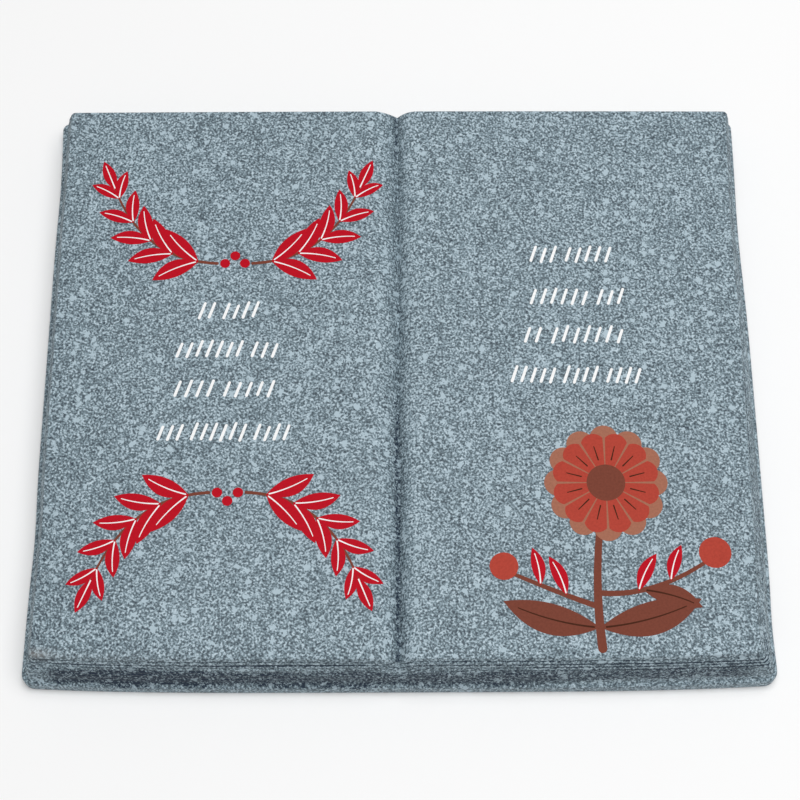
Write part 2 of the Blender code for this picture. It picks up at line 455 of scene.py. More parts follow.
def page_height(s, x):
    """Height of the inked page above the underside at x.

    The page stands at board plus leaves, less a crown c (x / half width)^2,
    less a roll g (1 - |x| / shoulder)^power on each side of the gutter, less
    the bell of a narrow crease along its middle.
    """
    crown = s.page_crown * (x / (s.board_width / 2.0)) ** 2
    shoulder = np.where(x < 0.0, s.shoulder_left, s.shoulder_right)
    power = np.where(x < 0.0, s.roll_left, s.roll_right)
    roll = s.gutter_depth * np.maximum(0.0, 1.0 - np.abs(x) / shoulder) ** power
    crease = s.crease_depth * bell(x, s.crease_width)
    return s.board_thickness + s.leaves_height - crown - roll - crease


def new_object(name, points, quads, material):
    """A mesh object of four-sided faces at the origin, riding on the plaque's body.

    Edges of more than the sharp angle stay crisp, so a film's rim doesn't round
    off its flat top.
    """
    mesh = bpy.data.meshes.new(name)
    mesh.vertices.add(len(points))
    mesh.vertices.foreach_set("co", np.asarray(points, np.float32).ravel())
    mesh.loops.add(quads.size)
    mesh.loops.foreach_set("vertex_index", quads.astype(np.int32).ravel())
    mesh.polygons.add(len(quads))
    mesh.polygons.foreach_set("loop_start", np.arange(0, quads.size, 4, dtype=np.int32))
    mesh.update(calc_edges=True)
    if mesh.validate():
        raise RuntimeError(f"{name} has faces that share their points")
    mesh.shade_smooth()
    mesh.set_sharp_from_angle(angle=SHARP_ANGLE)
    mesh.materials.append(material)
    made = bpy.data.objects.new(name, mesh)
    bpy.context.scene.collection.objects.link(made)
    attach(made, BODY)
    return made


def edge_runs(s):
    """Weights that place the points of a front or back edge, from left to right.

    A point's x is A (left + r) + B (right - r) + C: A and B carry the page's
    points along with its outer ends, and C holds those of the two rolls.
    """
    page = np.arange(1, PAGE_STEPS) / PAGE_STEPS
    roll = np.arange(ROLL_STEPS) / ROLL_STEPS
    corner = np.ones(CORNER_STEPS + 1)
    nothing = np.zeros_like
    a = np.concatenate([corner, 1.0 - page, nothing(roll), [0.0], nothing(roll),
                        nothing(page), nothing(corner)])
    b = np.concatenate([nothing(corner), nothing(page), nothing(roll), [0.0], nothing(roll),
                        page, corner])
    c = np.concatenate([nothing(corner), -s.shoulder_left * page,
                        -s.shoulder_left * (1.0 - roll), [0.0],
                        s.shoulder_right * (1.0 - roll[::-1]),
                        s.shoulder_right * (1.0 - page), nothing(corner)])
    return a, b, c


def outward(count):
    """Outward directions along a straight edge of `count` points and half of each corner.

    Each half corner turns by 45 degrees in even steps. The first array is the
    part along the edge and the second the part that faces away from it.
    """
    eighth = np.radians(45.0)
    turn = eighth * np.arange(CORNER_STEPS + 1) / CORNER_STEPS
    straight = np.zeros(count)
    along = np.concatenate([-np.sin(eighth - turn), straight, np.sin(turn)])
    away = np.concatenate([np.cos(eighth - turn), straight + 1.0, np.cos(turn)])
    return along, away


def ring_plan(s):
    """The points of one ring of the skin, anticlockwise from the front left corner.

    Each point has weights a, b, c for its x and e, g for its y, a direction
    (nx, ny) that faces outwards, and a share w of the back radius. The grid's
    corners are at the middle of the rounded ones.
    """
    a, b, c = edge_runs(s)
    corner = CORNER_STEPS + 1
    side = np.arange(1, SIDE_STEPS) / SIDE_STEPS
    to_back = np.concatenate([np.zeros(corner), side, np.ones(corner)])
    along, away = outward(len(a) - 2 * corner)
    side_along, side_away = outward(len(side))
    full, none = np.ones_like(a), np.zeros_like(a)
    side_full, side_none = np.ones_like(to_back), np.zeros_like(to_back)
    front = dict(a=a, b=b, c=c, e=full, g=none, nx=along, ny=-away, w=none)
    right = dict(a=side_none, b=side_full, c=side_none, e=1.0 - to_back, g=to_back,
                 nx=side_away, ny=side_along, w=to_back)
    back = dict(a=a, b=b, c=c, e=none, g=full, nx=along, ny=away, w=full)
    left = dict(right, a=side_full, b=side_none, nx=-side_away)
    return {key: np.concatenate([front[key], right[key][1:], back[key][::-1][1:],
                                 left[key][::-1][1:-1]]) for key in front}


def ring_points(s, plan, outline, inset):
    """Plan points of rings, one row for each outline, pulled in by the inset.

    A point is its weighted corner centre plus (radius - inset) times its
    outward direction. Then the right half runs in by the slant and the front
    bows by bow (|x| / half width)^power, both times the frontness
    (back - y) / (back - front). The left half runs in by waist
    (1 - frontness^power), and each dent adds a bell along its side. Both are in
    proportion to the distance from the gutter.
    """
    left, right, front, back, front_r, back_r, slant = (v[:, None] for v in outline)
    radius = front_r * (1.0 - plan["w"]) + back_r * plan["w"]
    x = plan["a"] * (left + radius) + plan["b"] * (right - radius) + plan["c"]
    x = x + (radius - inset) * plan["nx"]
    y = plan["e"] * (front + front_r) + plan["g"] * (back - back_r)
    y = y + (radius - inset) * plan["ny"]
    frontness = (back - y) / (back - front)
    half_width = s.board_width / 2.0
    across = np.abs(x) / half_width
    bowed = y + s.front_bow * across ** s.bow_power * frontness
    waist = s.left_waist * (1.0 - np.clip(frontness, 0.0, 1.0) ** s.waist_power)
    x = x - waist * np.minimum(0.0, x) / half_width
    for side, place, width, depth in DENTS:
        x = x - side * depth * bell(y - place, width) * np.maximum(0.0, side * x) / half_width
    return x - slant * frontness * np.maximum(0.0, x) / right, bowed


def board_outline(s, count):
    """The board's outline, repeated for that many rings."""
    half_w, half_d = s.board_width / 2.0, s.board_depth / 2.0
    sizes = (-half_w, half_w, -half_d, half_d, s.front_radius, s.back_radius, 0.0)
    return [np.full(count, v) for v in sizes]


def leaves_outline(s, shares):
    """The outline of the leaves at shares of their height: ledge plus fan share^power."""
    lean = np.clip(shares, 0.0, 1.0) ** s.fan_power
    half_w, half_d = s.board_width / 2.0, s.board_depth / 2.0
    front_r = np.full(len(shares), s.leaves_radius)
    back_r = np.full(len(shares), s.leaves_back_radius)
    return [-half_w + s.lip_round + s.ledge_left + s.fan_side * lean,
            half_w - s.lip_round - s.ledge_right - s.fan_side * lean,
            -half_d + s.lip_round + s.ledge_front + s.fan_front * lean,
            half_d - s.lip_round - s.ledge_back - s.fan_back * lean,
            front_r, back_r, s.right_slant * lean]


def board_rings(s, plan):
    """x, y, z and painted shade of the board's rings, from its flat underside to its lip.

    Both edges are quarter rounds, inset r (1 - cos a) and fall r (1 - sin a). The
    upper one stops short of level, where the soft fillet of the leaves' foot
    takes over.
    """
    angle = np.radians(90.0) * np.arange(ROUND_STEPS + 1) / ROUND_STEPS
    lip_angle = angle[:-1]
    inset_under = s.under_round * (1.0 - np.cos(angle[::-1]))
    z_under = s.under_round * (1.0 - np.sin(angle[::-1]))
    inset_lip = s.lip_round * (1.0 - np.cos(lip_angle))
    z_lip = s.board_thickness - s.lip_round * (1.0 - np.sin(lip_angle))
    inset = np.concatenate([inset_under, inset_lip])
    height = np.concatenate([z_under, z_lip])
    x, y = ring_points(s, plan, board_outline(s, len(inset)), inset[:, None])
    z = np.repeat(height[:, None], x.shape[1], axis=1)
    rise = (z - s.board_thickness) / s.leaves_height
    return x, y, z, bareness(s, plan, x, y, rise)


def leaf_shares(s):
    """Shares of the height of the leaves' rings, with each one's depth and painted shade.

    Seven rings make one leaf: from one groove's bottom up its V, over the leaf's
    edge and down into the next groove. A ring's place counts the leaves below it.
    Painted shade fills the whole groove, so it is dark up to its lips.
    """
    edge = 1.0 - s.page_round / s.leaves_height
    half_groove = s.groove_width / 2.0 / s.leaves_height
    lines = np.array([0.0] + [row[0] for row in GROOVES] + [edge])
    low, high = lines[:-1, None], lines[1:, None]
    lip = np.array([0.0, 0.5, 1.0]) * half_groove
    body = low + (high - low) * np.array(RING_PLACES)
    shares = np.concatenate([low + lip, body, high - lip[:0:-1]], 1).ravel()
    depths = np.tile(np.array(RING_DEPTHS), len(low))
    groove_shades = np.tile(np.array(RING_SHADES), len(low))
    depths[:len(lip)] = 0.0
    groove_shades[:len(lip)] = 0.0
    keep = shares < edge - half_groove * EDGE_CLEARANCE
    places = np.interp(shares, lines, np.arange(len(lines)))
    return shares[keep], depths[keep], groove_shades[keep], places[keep], edge


def groove_strength(loop, around):
    """How deep each groove is along the loop, as a share of its full depth.

    The strengths at four places of the front are joined by straight lines and
    reach the even strength of the sides just past the corners. Smooth noise of
    two widths breaks them up. The foot and the page edge have none.
    """
    places = [*FRONT_PLACES, SIDE_START, around - SIDE_END, around]
    rows = [np.interp(loop, places, (corner, corner, left, middle, right,
                                     SIDE_STRENGTH * share, SIDE_STRENGTH * share, corner))
            for share, corner, left, middle, right in GROOVES]
    broad = smooth_noise(loop, BREAK_PITCH, seed=11, rows=len(GROOVES), around=around)
    fine = smooth_noise(loop, FINE_BREAK_PITCH, seed=12, rows=len(GROOVES), around=around)
    noise = broad + FINE_BREAK_SHARE * fine
    strength = np.array(rows) * np.clip(BREAK_MEAN + BREAK_SWING * noise, *BREAK_LIMITS)
    none = np.zeros((1, len(loop)))
    return np.concatenate([none, strength, none])


def bareness(s, plan, x, y, share):
    """Painted shade on the walls, from 0 to 1: how much of the dark base coat is made to show where
    shade falls.

    The lower half of the leaves, which faces away from the light above, gets a
    band of it. Along the front that band has waving edges, a product of two
    smoothsteps of the share of the height. It is widest at the left and thins to
    the right, and it fades out before the rounded corners. It is weaker at the
    back and faint at the sides, where the board's upright rim is painted in shade instead.
    """
    wide = s.board_width / 2.0
    to_right = smoothstep(*RIGHT_RANGE, x / wide)
    to_left = smoothstep(*LEFT_RANGE, -x / wide)
    low, high, strength = (middle + right * to_right + left * to_left
                           for middle, right, left in (BAND_LOW, BAND_HIGH, BAND_STRENGTH))
    wave = WAVE_DEPTH * sum(np.sin(x * rate + start) for rate, start in WAVES)
    low = low + wave
    high = high - wave
    band = smoothstep(low + BAND_FADE_LOW[0], low + BAND_FADE_LOW[1], share)
    band = band * (1.0 - smoothstep(high, high + BAND_FADE_HIGH, share))
    from_end = wide - np.abs(x)
    front = smoothstep(*FACING, -plan["ny"]) * smoothstep(*FRONT_FADE, from_end) * strength
    back = smoothstep(*FACING, plan["ny"]) * smoothstep(*END_FADE, from_end)
    sides = smoothstep(*FACING, np.abs(plan["nx"]))
    sides = sides * smoothstep(*END_FADE, s.board_depth / 2.0 - np.abs(y))
    rim = RIM_PAINTED_SHADE * sides * (1.0 - smoothstep(*RIM_RANGE, share))
    # Painted shade: the band on the lower leaves, weaker at the back and the sides, and the board's
    # rim
    return band * (front + BACK_PAINTED_SHADE * back + SIDE_PAINTED_SHADE * sides) + rim


def leaf_rings(s, plan, loop, around):
    """x, y, z and painted shading of the leaves' rings, from their foot to the page.

    Each groove has its own depth along the loop and strays up and down by smooth
    noise, so the lines between the leaves break off as in a cast book. They are
    sharp near the page and faint near the board. Each leaf also stands out or in
    by its own smooth noise, and along the front a soft fillet
    c (1 - share / height)^2 leads from the board's lip to the foot. At the back
    the leaves run in at the left corner and the page stands out at the right
    one, each by a bell along its side.
    """
    shares, depths, groove_shades, at, edge = leaf_shares(s)
    count = len(GROOVES) + 1
    line = np.clip(np.round(at).astype(int), 0, count)
    leaf = np.clip(np.floor(at).astype(int), 0, count - 1)
    strength = groove_strength(loop, around)
    stray = smooth_noise(loop, WANDER_PITCH, seed=13, rows=count + 1, around=around)
    stray = stray * s.groove_wander
    stray[0] = 0.0
    stray[-1] = 0.0
    stand = smooth_noise(loop, BULGE_PITCH, seed=14, rows=count, around=around)
    part = (at - leaf)[:, None]
    stray = stray[leaf] * (1.0 - part) + stray[leaf + 1] * part
    depth = depths[:, None] * strength[line]
    swell = np.sin(np.pi * np.clip(at - leaf, 0.0, 1.0))[:, None]
    bulge = s.leaf_bulge * stand[leaf] * swell
    cove = np.clip(1.0 - shares * s.leaves_height / s.cove_height, 0.0, 1.0) ** 2
    cove = cove[:, None] * smoothstep(*COVE_FACING, -plan["ny"])
    wall_inset = s.groove_depth * depth + bulge - s.cove_width * cove
    wall_share = shares[:, None] + stray / s.leaves_height

    angle = np.radians(90.0) * np.arange(ROUND_STEPS + 1) / ROUND_STEPS
    page_inset = s.page_round * (1.0 - np.cos(angle))[:, None]
    page_share = 1.0 - s.page_round * (1.0 - np.sin(angle))[:, None] / s.leaves_height

    wide = np.ones((1, len(loop)))
    inset = np.concatenate([wall_inset, page_inset * wide])
    share = np.concatenate([wall_share, page_share * wide])
    outline = leaves_outline(s, np.concatenate([shares, np.full(len(angle), edge)]))
    x, y = ring_points(s, plan, outline, inset)
    corner = bell(y - s.board_depth / 2.0, s.nip_width) / (s.board_width / 2.0)
    flare = s.right_flare * smoothstep(*FLARE_RANGE, share)
    x = x - corner * (s.left_nip * np.minimum(0.0, x) - flare * np.maximum(0.0, x))
    top = page_height(s, x) - s.coat_sink
    z = s.board_thickness + share * (top - s.board_thickness)
    # Painted shade in the grooves between the leaves, then the larger of it and the walls' painted
    # shade
    lines = np.concatenate([groove_shades[:, None] * strength[line], np.zeros_like(page_inset * wide)])
    dark = np.maximum(bareness(s, plan, x, y, share), lines * LINE_PAINTED_SHADE)
    on_page = page_painted_shading(s, x, y) * smoothstep(*PAGE_RANGE, share)
    return x, y, z, np.maximum(dark, on_page)


def coons(edge_points, columns, rows):
    """The grid of points inside a ring, with the ring as its border.

    Each point is the blend of the four edges, (1-v) F + v B + (1-u) L + u R,
    less the same blend of the four corners.
    """
    front = edge_points[:columns + 1]
    right = edge_points[columns:columns + rows + 1]
    back = edge_points[columns + rows:2 * columns + rows + 1][::-1]
    left = np.concatenate([edge_points[2 * columns + rows:], edge_points[:1]])[::-1]
    u = np.linspace(0.0, 1.0, columns + 1)[None, :, None]
    v = np.linspace(0.0, 1.0, rows + 1)[:, None, None]
    edges = (1 - v) * front[None] + v * back[None]
    edges = edges + (1 - u) * left[:, None] + u * right[:, None]
    corners = (1 - v) * ((1 - u) * front[0] + u * front[-1])
    corners = corners + v * ((1 - u) * back[0] + u * back[-1])
    return edges - corners


def grid_indices(ring_start, inner_start, columns, rows):
    """Vertex indices of a grid whose border is a ring and whose inside follows it."""
    index = np.zeros((rows + 1, columns + 1), int)
    ring = ring_start + np.arange(2 * (columns + rows))
    index[0] = ring[:columns + 1]
    index[:, -1] = ring[columns:columns + rows + 1]
    index[-1] = ring[columns + rows:2 * columns + rows + 1][::-1]
    index[:, 0] = np.concatenate([ring[2 * columns + rows:], ring[:1]])[::-1]
    count = (columns - 1) * (rows - 1)
    index[1:-1, 1:-1] = inner_start + np.arange(count).reshape(rows - 1, columns - 1)
    return index


def grid_quads(index, upwards):
    """Four-sided faces of a grid of indices, which face up or down."""
    quads = np.stack([index[:-1, :-1], index[:-1, 1:], index[1:, 1:], index[1:, :-1]], -1)
    quads = quads.reshape(-1, 4)
    return quads if upwards else quads[:, ::-1]


def page_painted_shading(s, x, y):
    """Painted shading on the pages, as a sum of bells.

    A narrow bell of painted shade along the gutter's crease lies on a broad weak one, and grows
    towards the front and the far end. The shoulders beside it carry painted highlights,
    so their bells are negative. Others darken the page along its outer edges:
    most at the front left corner, then at the back right one.
    """
    half_w, half_d = s.board_width / 2.0, s.board_depth / 2.0
    distances = {"gutter": x, "left": half_w + x, "right": half_w - x,
                 "front": half_d + y, "back": half_d - y}
    growth = {key: smoothstep(low, high, across * x + along * y)
              for key, (across, along, low, high) in PAGE_RAMPS.items()}
    growth["even"] = 1.0
    growth["wave"] = np.sin(y * GUTTER_WAVE)
    return sum(strength * growth[ramp] * bell(distances[line] - offset, width)
               for line, offset, strength, width, ramp in PAGE_BELLS)


def edge_rub(s, points):
    """How far the coat is rubbed to a warm grey, along the page's edge at the front left.

    It is a bell of the height above or below the page's edge times one of the
    distance from the page's front edge, times two bells along that edge, which
    fade from the left corner inwards.
    """
    x, y, z = points.T
    front = s.lip_round + s.ledge_front + s.fan_front - s.board_depth / 2.0
    bow = s.front_bow * bell(x + s.board_width / 2.0, RUB_BOW)
    near = bell(y - front - bow, RUB_DEPTH)
    high = bell(z - s.board_thickness - s.leaves_height, RUB_HEIGHT)
    along = sum(strength * bell(x - place, width) for strength, place, width in RUB_BELLS)
    return near * high * along


def build_skin(s):
    """Points, faces and painted shading of the whole skin: board, leaves, pages and underside."""
    plan = ring_plan(s)
    columns = len(edge_runs(s)[0]) - 1
    rows = SIDE_STEPS + 2 * CORNER_STEPS
    first_x, first_y = ring_points(s, plan, board_outline(s, 1), np.zeros((1, 1)))
    step = np.hypot(np.diff(first_x[0], append=first_x[0, 0]),
                    np.diff(first_y[0], append=first_y[0, 0]))
    loop = np.concatenate([[0.0], np.cumsum(step)[:-1]])
    board = board_rings(s, plan)
    leaves = leaf_rings(s, plan, loop, float(step.sum()))
    x, y, z, bare = (np.concatenate(pair) for pair in zip(board, leaves))
    levels, around = x.shape

    rings = np.stack([x, y, z], -1).reshape(-1, 3)
    under = coons(np.stack([x[0], y[0], z[0]], -1), columns, rows)
    page = coons(np.stack([x[-1], y[-1], z[-1]], -1), columns, rows)
    page[1:-1, 1:-1, 2] = page_height(s, page[1:-1, 1:-1, 0]) - s.coat_sink
    under_inner = under[1:-1, 1:-1].reshape(-1, 3)
    page_inner = page[1:-1, 1:-1].reshape(-1, 3)
    points = np.concatenate([rings, under_inner, page_inner])

    low = np.arange(levels - 1)[:, None] * around + np.arange(around)[None]
    nxt = np.arange(levels - 1)[:, None] * around + np.roll(np.arange(around), -1)[None]
    walls = np.stack([low, nxt, nxt + around, low + around], -1).reshape(-1, 4)
    under_index = grid_indices(0, len(rings), columns, rows)
    page_index = grid_indices((levels - 1) * around, len(rings) + len(under_inner),
                              columns, rows)
    quads = np.concatenate([walls, grid_quads(under_index, False),
                            grid_quads(page_index, True)])
    # Painted shading of the walls, of the underside, which lies in shade, and of the pages
    shading_values = np.concatenate([bare.ravel(), np.full(len(under_inner), UNDER_PAINTED_SHADE),
                            page_painted_shading(s, page_inner[:, 0], page_inner[:, 1])])
    return points, quads, shading_values


class Sheet:
    """Adds nodes to a material, each set from keyword values, and links them."""

    def __init__(self, name):
        self.material = bpy.data.materials.new(name)
        self.material.use_nodes = True
        self.tree = self.material.node_tree
        self.shader = self.tree.nodes["Principled BSDF"]

    def add(self, kind, inputs=None, **settings):
        """A node of this kind; inputs maps socket names or numbers to values or sockets."""
        node = self.tree.nodes.new(kind)
        for key, value in settings.items():
            setattr(node, key, value)
        self.feed(node, inputs or {})
        return node

    def feed(self, node, inputs):
        """Sets each input to a value, or links it where it is a socket."""
        for key, value in inputs.items():
            if isinstance(value, bpy.types.NodeSocket):
                self.tree.links.new(value, node.inputs[key])
            else:
                node.inputs[key].default_value = value

    def tilted_place(self):
        """Object coordinates turned askew, so no face lies along a noise's own grid."""
        place = self.add("ShaderNodeTexCoord").outputs["Object"]
        tilted = self.add("ShaderNodeMapping", {"Vector": place, "Rotation": NOISE_TILT})
        return tilted.outputs["Vector"]

    def math(self, operation, first, second=0.0, clamp=False):
        """The output of a Math node."""
        node = self.add("ShaderNodeMath", {0: first, 1: second}, operation=operation)
        node.use_clamp = clamp
        return node.outputs[0]

    def noise(self, vector, size, detail, roughness):
        """The height of a noise texture whose features are about `size` wide."""
        node = self.add("ShaderNodeTexNoise", {
            "Vector": vector, "Scale": 1.0 / size, "Detail": detail, "Roughness": roughness})
        return node.outputs["Fac"]

    def ramp(self, factor, stops):
        """The colour of a ramp through (place, colour) stops."""
        node = self.add("ShaderNodeValToRGB", {"Fac": factor})
        elements = node.color_ramp.elements
        while len(elements) < len(stops):
            elements.new(0.5)
        for element, (place, tone) in zip(elements, stops):
            element.position = place
            element.color = (*tone, 1.0)
        return node.outputs["Color"]

    def mix(self, factor, first, second, blend_type="MIX"):
        """The colour of a Mix node."""
        node = self.add("ShaderNodeMix", data_type="RGBA", blend_type=blend_type)
        self.feed(node, {"Factor": factor})
        colours = [i for i in node.inputs if i.type == "RGBA"]
        for socket, value in zip(colours, (first, second)):
            if isinstance(value, bpy.types.NodeSocket):
                self.tree.links.new(value, socket)
            else:
                socket.default_value = (*value, 1.0)
        return [o for o in node.outputs if o.type == "RGBA"][0]


def spatter(sheet, place, pitch, ragged):
    """Mask of ragged flat spots, one in about two thirds of the cells of a cell pattern.

    A spot is where the distance to the cell's point is less than the cell's own
    random radius. The place is first shaken by noise, which makes outlines ragged.
    """
    shake = sheet.add("ShaderNodeTexNoise", {"Vector": place, "Scale": SHAKE_RATE / ragged,
                                             "Detail": 1.0})
    shift = sheet.add("ShaderNodeVectorMath", {0: shake.outputs["Color"], 1: (0.5, 0.5, 0.5)},
                      operation="SUBTRACT")
    scaled = sheet.add("ShaderNodeVectorMath", {0: shift.outputs[0],
                                                "Scale": SHAKE_REACH * ragged},
                       operation="SCALE")
    moved = sheet.add("ShaderNodeVectorMath", {0: place, 1: scaled.outputs[0]})
    cells = sheet.add("ShaderNodeTexVoronoi", {"Vector": moved.outputs[0],
                                               "Scale": 1.0 / pitch})
    random = sheet.add("ShaderNodeSeparateColor", {0: cells.outputs["Color"]}).outputs[0]
    radius = sheet.math("MULTIPLY", sheet.math("SUBTRACT", random, SPOT_START), SPOT_GROWTH)
    inside = sheet.math("SUBTRACT", radius, cells.outputs["Distance"])
    return sheet.math("MULTIPLY", inside, OUTLINE_STEEPNESS, clamp=True)


def coat_material(c):
    """Granite-effect coating: a dark base coat under fine speckle and larger spatter spots.

    Fine noise picks the speckle's tone, darkened by the painted shading. The base coat shows
    in patches, where a second noise is below a limit that rises with the painted shading. The spots
    lie on top, fewer where the painted shade is strong.
    """
    sheet = Sheet("granite_coating")
    place = sheet.tilted_place()
    grain = sheet.noise(place, c.grain_size, detail=1.5, roughness=0.5)
    drift = sheet.noise(place, c.drift_size, detail=2.0, roughness=0.5)
    # The painted shading read from the skin: shade painted on the walls, grooves, gutter and
    # underside, and highlights on the gutter's shoulders
    bare = sheet.add("ShaderNodeAttribute", attribute_name="bareness").outputs["Fac"]
    level = sheet.math("ADD", grain, sheet.math("MULTIPLY", drift, DRIFT_SHARE))
    # Painted shade darkens the speckle's tone, and a negative one lightens it as a painted highlight
    level = sheet.math("SUBTRACT", level, sheet.math("MULTIPLY", bare, c.bare))
    tone = sheet.ramp(level, list(zip(TONE_LEVELS, (c.base, c.deep, c.ground, c.light, c.pale))))
    patches = sheet.noise(place, c.patch_size, detail=3.0, roughness=0.65)
    limit = sheet.math("ADD", sheet.math("MULTIPLY", bare, c.patchiness), PATCH_LEVEL)
    shown = sheet.math("MULTIPLY", sheet.math("SUBTRACT", limit, patches), OUTLINE_STEEPNESS,
                       clamp=True)
    tone = sheet.mix(shown, tone, tuple(c.base))
    large = spatter(sheet, place, c.spot_pitch, c.ragged)
    small = spatter(sheet, place, c.spot_pitch * 0.5, c.ragged * 0.5)
    spots = sheet.math("MAXIMUM", large, sheet.math("MULTIPLY", small, SMALL_SPOT_OPACITY))
    kept = sheet.math("SUBTRACT", 1.0, sheet.math("MULTIPLY", bare, SPOT_LOSS), clamp=True)
    spots = sheet.math("MULTIPLY", spots, kept)
    tone = sheet.mix(spots, tone, tuple(c.spot))
    rub = sheet.add("ShaderNodeAttribute", attribute_name="rub").outputs["Fac"]
    tone = sheet.mix(rub, tone, tuple(c.rubbed))
    bump = sheet.add("ShaderNodeBump", {"Height": level, "Strength": COAT_BUMP,
                                        "Distance": c.relief * COAT_BUMP_REACH})
    between, on_grain = COAT_ROUGHNESS
    matt = sheet.add("ShaderNodeMapRange", {"Value": grain, "To Min": between,
                                            "To Max": on_grain})
    sheet.feed(sheet.shader, {"Base Color": tone, "Normal": bump.outputs["Normal"],
                              "Roughness": matt.outputs["Result"],
                              "Specular IOR Level": COAT_SPECULAR})
    sheet.material.diffuse_color = (*c.ground, 1.0)
    return sheet.material


def ink_material(name, tone, roughness):
    """Flat ink that lies on the grain: an even tone, slightly mottled, with soft relief."""
    sheet = Sheet(name)
    place = sheet.add("ShaderNodeTexCoord").outputs["Object"]
    mottle = sheet.noise(place, MOTTLE_SIZE, detail=2.0, roughness=0.6)
    stops = [(level, tuple(min(1.0, v * factor) for v in tone))
             for level, factor in zip(MOTTLE_LEVELS, MOTTLE_TONES)]
    shade = sheet.ramp(mottle, stops)
    bump = sheet.add("ShaderNodeBump", {"Height": mottle, "Strength": INK_BUMP,
                                        "Distance": INK_BUMP_REACH})
    sheet.feed(sheet.shader, {"Base Color": shade, "Normal": bump.outputs["Normal"],
                              "Roughness": roughness, "Specular IOR Level": INK_SPECULAR})
    sheet.material.diffuse_color = (*tone, 1.0)
    return sheet.material


def turned(points, angle, at):
    """Plan points turned by the angle about the origin and moved to `at`."""
    c, s = math.cos(angle), math.sin(angle)
    return points @ np.array([[c, s], [-s, c]]) + np.asarray(at)


def leaf_patch(at, angle, size, width, bend=0.0, steps=17, across=7):
    """A pointed-oval leaf: half width (w / 2) 4u (1 - u) about a bowed midrib.

    The midrib rises by bend times size times 4u (1 - u) to its left.
    """
    u = np.linspace(0.0, 1.0, steps)[:, None]
    v = np.linspace(-1.0, 1.0, across)[None]
    swell = np.maximum(4.0 * u * (1.0 - u), LEAF_TIP)
    x = u * size + 0.0 * v
    y = bend * size * 4.0 * u * (1.0 - u) + v * width / 2.0 * swell
    return turned(np.stack([x, y], -1), angle, at)


def petal_patch(at, angle, start, size, width, wedge, steps=21, across=7):
    """A petal with a round end, which keeps inside its own wedge of the flower.

    Half width is (w / 2) sqrt(1 - ((u - b) / (1 - b))^2) past the widest place b,
    and no more than the radius times tan(wedge).
    """
    widest = 1.0 - width / 2.0 / size
    u = np.concatenate([np.linspace(0.0, widest, steps // 2, endpoint=False),
                        widest + (1.0 - widest) * np.sin(np.linspace(0.0, np.pi / 2.0, steps))])
    u = u[:, None]
    v = np.linspace(-1.0, 1.0, across)[None]
    past = np.clip((u - widest) / (1.0 - widest), 0.0, PETAL_END)
    half = width / 2.0 * np.sqrt(1.0 - past ** 2)
    half = np.minimum(half, (start + u * size) * math.tan(wedge))
    x = start + u * size + 0.0 * v
    return turned(np.stack([x, v * half], -1), angle, at)


def disc_patch(at, radius, steps=15):
    """A round disc as a grid: the square (a, b) goes to r (a sqrt(1 - b^2/2), b sqrt(1 - a^2/2))."""
    a = np.linspace(-1.0, 1.0, steps)[:, None]
    b = np.linspace(-1.0, 1.0, steps)[None]
    x = a * np.sqrt(1.0 - b * b / 2.0)
    y = b * np.sqrt(1.0 - a * a / 2.0)
    return radius * np.stack([x, y], -1) + np.asarray(at)


def brush_patch(path, width, end_width=None, steps=14, across=3):
    """A drawn stroke along a path, with round ends.

    Half width is w / 2 along the path, which may run to another width at its
    end, and the square root of (w/2)^2 - e^2 where it reaches e past an end.
    """
    end_width = width if end_width is None else end_width
    path = np.asarray(path, float)
    step = np.hypot(*np.diff(path, axis=0).T)
    run = np.concatenate([[0.0], np.cumsum(step)])
    total = run[-1]
    cap = np.sin(np.linspace(-np.pi / 2.0, 0.0, 5))
    first = cap * width / 2.0
    last = total - cap[::-1] * end_width / 2.0
    at = np.concatenate([first, np.linspace(0.0, total, steps)[1:-1], last])
    inside = np.clip(at, 0.0, total)
    centre = np.stack([np.interp(inside, run, path[:, k]) for k in (0, 1)], -1)
    ahead = np.clip(inside + total * HEADING_SHARE, 0.0, total)
    behind = np.clip(inside - total * HEADING_SHARE, 0.0, total)
    tangent = np.stack([np.interp(ahead, run, path[:, k]) - np.interp(behind, run, path[:, k])
                        for k in (0, 1)], -1)
    tangent = tangent / np.hypot(*tangent.T)[:, None]
    centre = centre + tangent * (at - inside)[:, None]
    normal = np.stack([-tangent[:, 1], tangent[:, 0]], -1)
    half = width / 2.0 + (end_width - width) / 2.0 * inside / total
    past = np.abs(at - inside)
    half = np.sqrt(np.maximum(half ** 2 - past ** 2, (BRUSH_TIP * half) ** 2))
    v = np.linspace(-1.0, 1.0, across)[None, :, None]
    return centre[:, None] + normal[:, None] * half[:, None, None] * v


def film_mesh(s, ink, patches, layer):
    """Points and faces of closed films of ink that follow the page.

    A film's top stands `layer` steps above the first film's, and its bottom
    lies in the coating. Both are the patch's grid, joined by its border. Each
    patch stands a fine step above the one before, a few in turn, so that two of
    them never share a plane where they cross.
    """
    points, quads, start = [], [], 0
    for k, patch in enumerate(patches):
        rows, columns = patch.shape[:2]
        x, y = patch[..., 0], patch[..., 1]
        page = page_height(s, x)
        top = page - ink.film * (LEVEL_LAYER - layer) + ink.fine_step * (k % FINE_TURNS)
        low = page - s.coat_sink - ink.bed
        points += [np.stack([x, y, z], -1).reshape(-1, 3) for z in (top, low)]
        index = start + np.arange(rows * columns).reshape(rows, columns)
        below = rows * columns
        rim = np.concatenate([index[0, :-1], index[:-1, -1], index[-1, :0:-1],
                              index[:0:-1, 0]])
        after = np.roll(rim, -1)
        wall = np.stack([rim, after, after + below, rim + below], -1)
        quads += [grid_quads(index, False), grid_quads(index + below, True), wall]
        start += 2 * below
    return np.concatenate(points), np.concatenate(quads)


